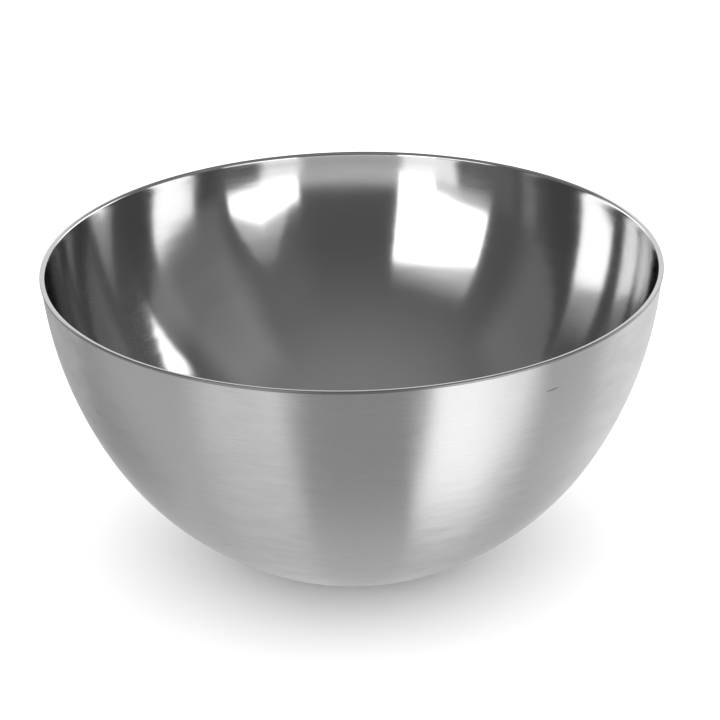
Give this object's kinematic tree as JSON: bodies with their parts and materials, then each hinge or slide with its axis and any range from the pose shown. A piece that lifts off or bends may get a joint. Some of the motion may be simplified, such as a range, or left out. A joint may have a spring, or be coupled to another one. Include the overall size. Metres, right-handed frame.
{
  "type": "shaving bowl",
  "caption": "Round double-skinned metal lather bowl with a polished inside, a brushed outside, a thin turned-out lip and a small flat base.",
  "frame": {"origin": "centre of the flat face that the bowl rests on", "axes": "+Z along the bowl's axis, up and out of its mouth; the bowl is round, so X and Y are free"},
  "size_m": [0.12, 0.12, 0.058],
  "materials": {
    "polished_steel": "mirror-polished stainless steel, with the slight waviness of a pressed sheet",
    "brushed_steel": "satin stainless steel, brushed finely round the bowl",
    "seam_steel": "dull weld bead"
  },
  "bodies": {
    "root": {"inner_bowl": "polished_steel", "outer_shell": "brushed_steel", "rim_seam": "seam_steel"}
  },
  "joints": []
}
